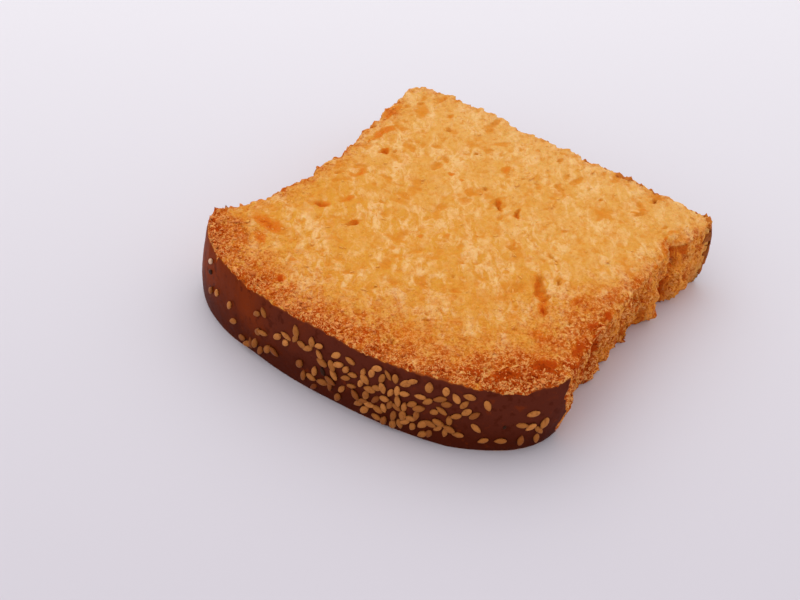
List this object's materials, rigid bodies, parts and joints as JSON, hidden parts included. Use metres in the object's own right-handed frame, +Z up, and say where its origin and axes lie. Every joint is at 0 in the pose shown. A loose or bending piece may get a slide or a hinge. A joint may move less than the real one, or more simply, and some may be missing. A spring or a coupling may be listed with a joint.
{
  "type": "sesame rusk slice",
  "caption": "Thick toasted slice of a sweet loaf lying flat, with a domed glazed crust under sesame seeds and two torn crumb sides.",
  "frame": {"origin": "under the middle of the slice, on the cut face that it rests on", "axes": "+Z up through the slice's thickness, -Y out of the domed glazed crust, +Y out of the base crust, +X towards the torn side that is at the right when the dome faces the viewer"},
  "size_m": [0.103, 0.1002, 0.02],
  "materials": {
    "toasted_crumb": "matt, porous",
    "glazed_crust": "satin egg glaze",
    "base_crust": "matt",
    "sesame_seed": "satin"
  },
  "bodies": {
    "root": {"rusk": "toasted_crumb"}
  },
  "joints": []
}
